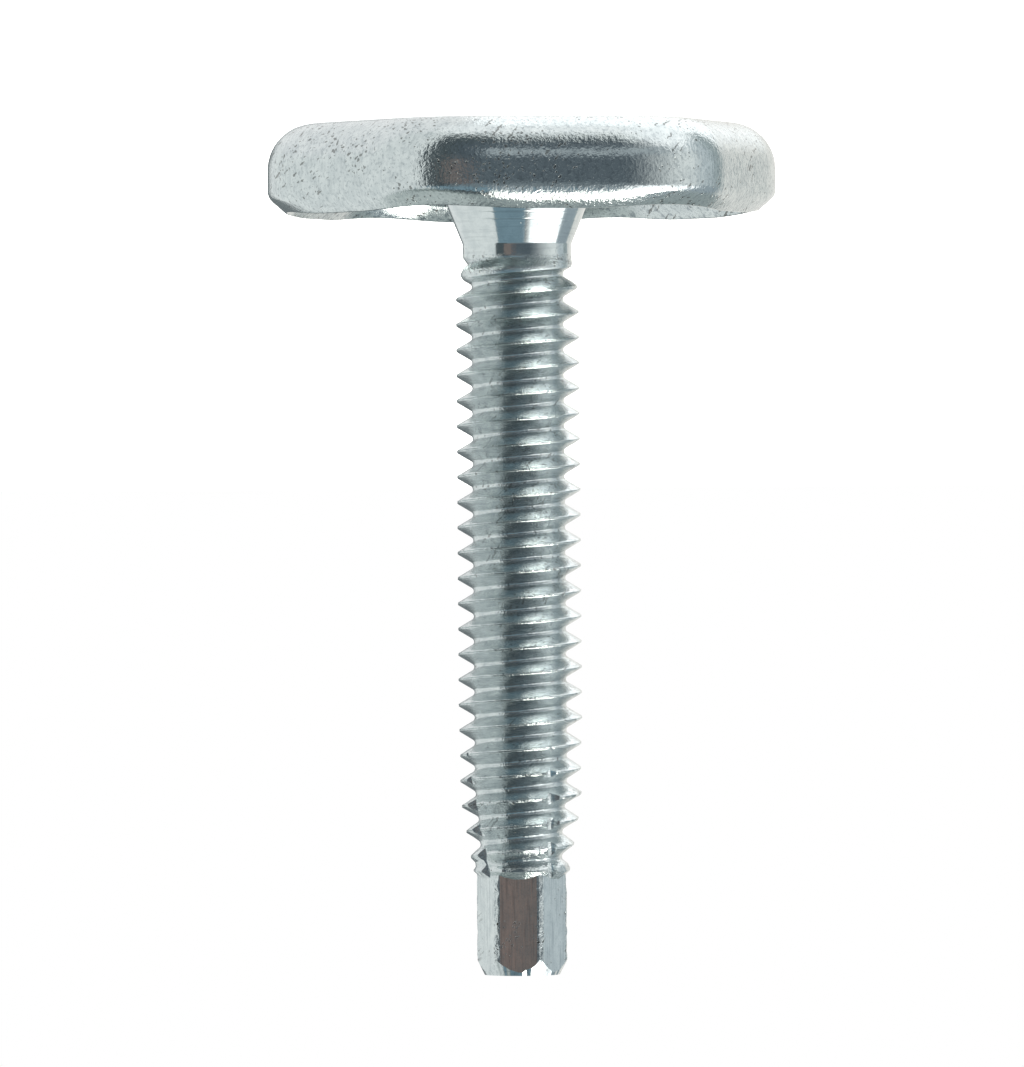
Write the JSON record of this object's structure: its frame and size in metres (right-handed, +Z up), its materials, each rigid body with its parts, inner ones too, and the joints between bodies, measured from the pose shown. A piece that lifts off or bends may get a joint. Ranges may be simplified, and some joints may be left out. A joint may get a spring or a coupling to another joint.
{
  "type": "leveling leg",
  "caption": "Leveling leg: a right-hand threaded steel stud with a hexagonal drive end, riveted to a shallow hexagonal stamped foot, all bright zinc plated.",
  "frame": {"origin": "centre of the sole, on the surface that the leg stands on", "axes": "+Z up along the stud, from the sole to the drive end; a flat of the foot faces 21.7 degrees from +X"},
  "size_m": [0.0256, 0.0248, 0.0426],
  "materials": {
    "foot_plate": "bright zinc plated, lightly pitted from handling",
    "stud_plate": "bright zinc plated over a rolled thread"
  },
  "bodies": {
    "root": {"foot": "foot_plate", "stud": "stud_plate"}
  },
  "joints": []
}
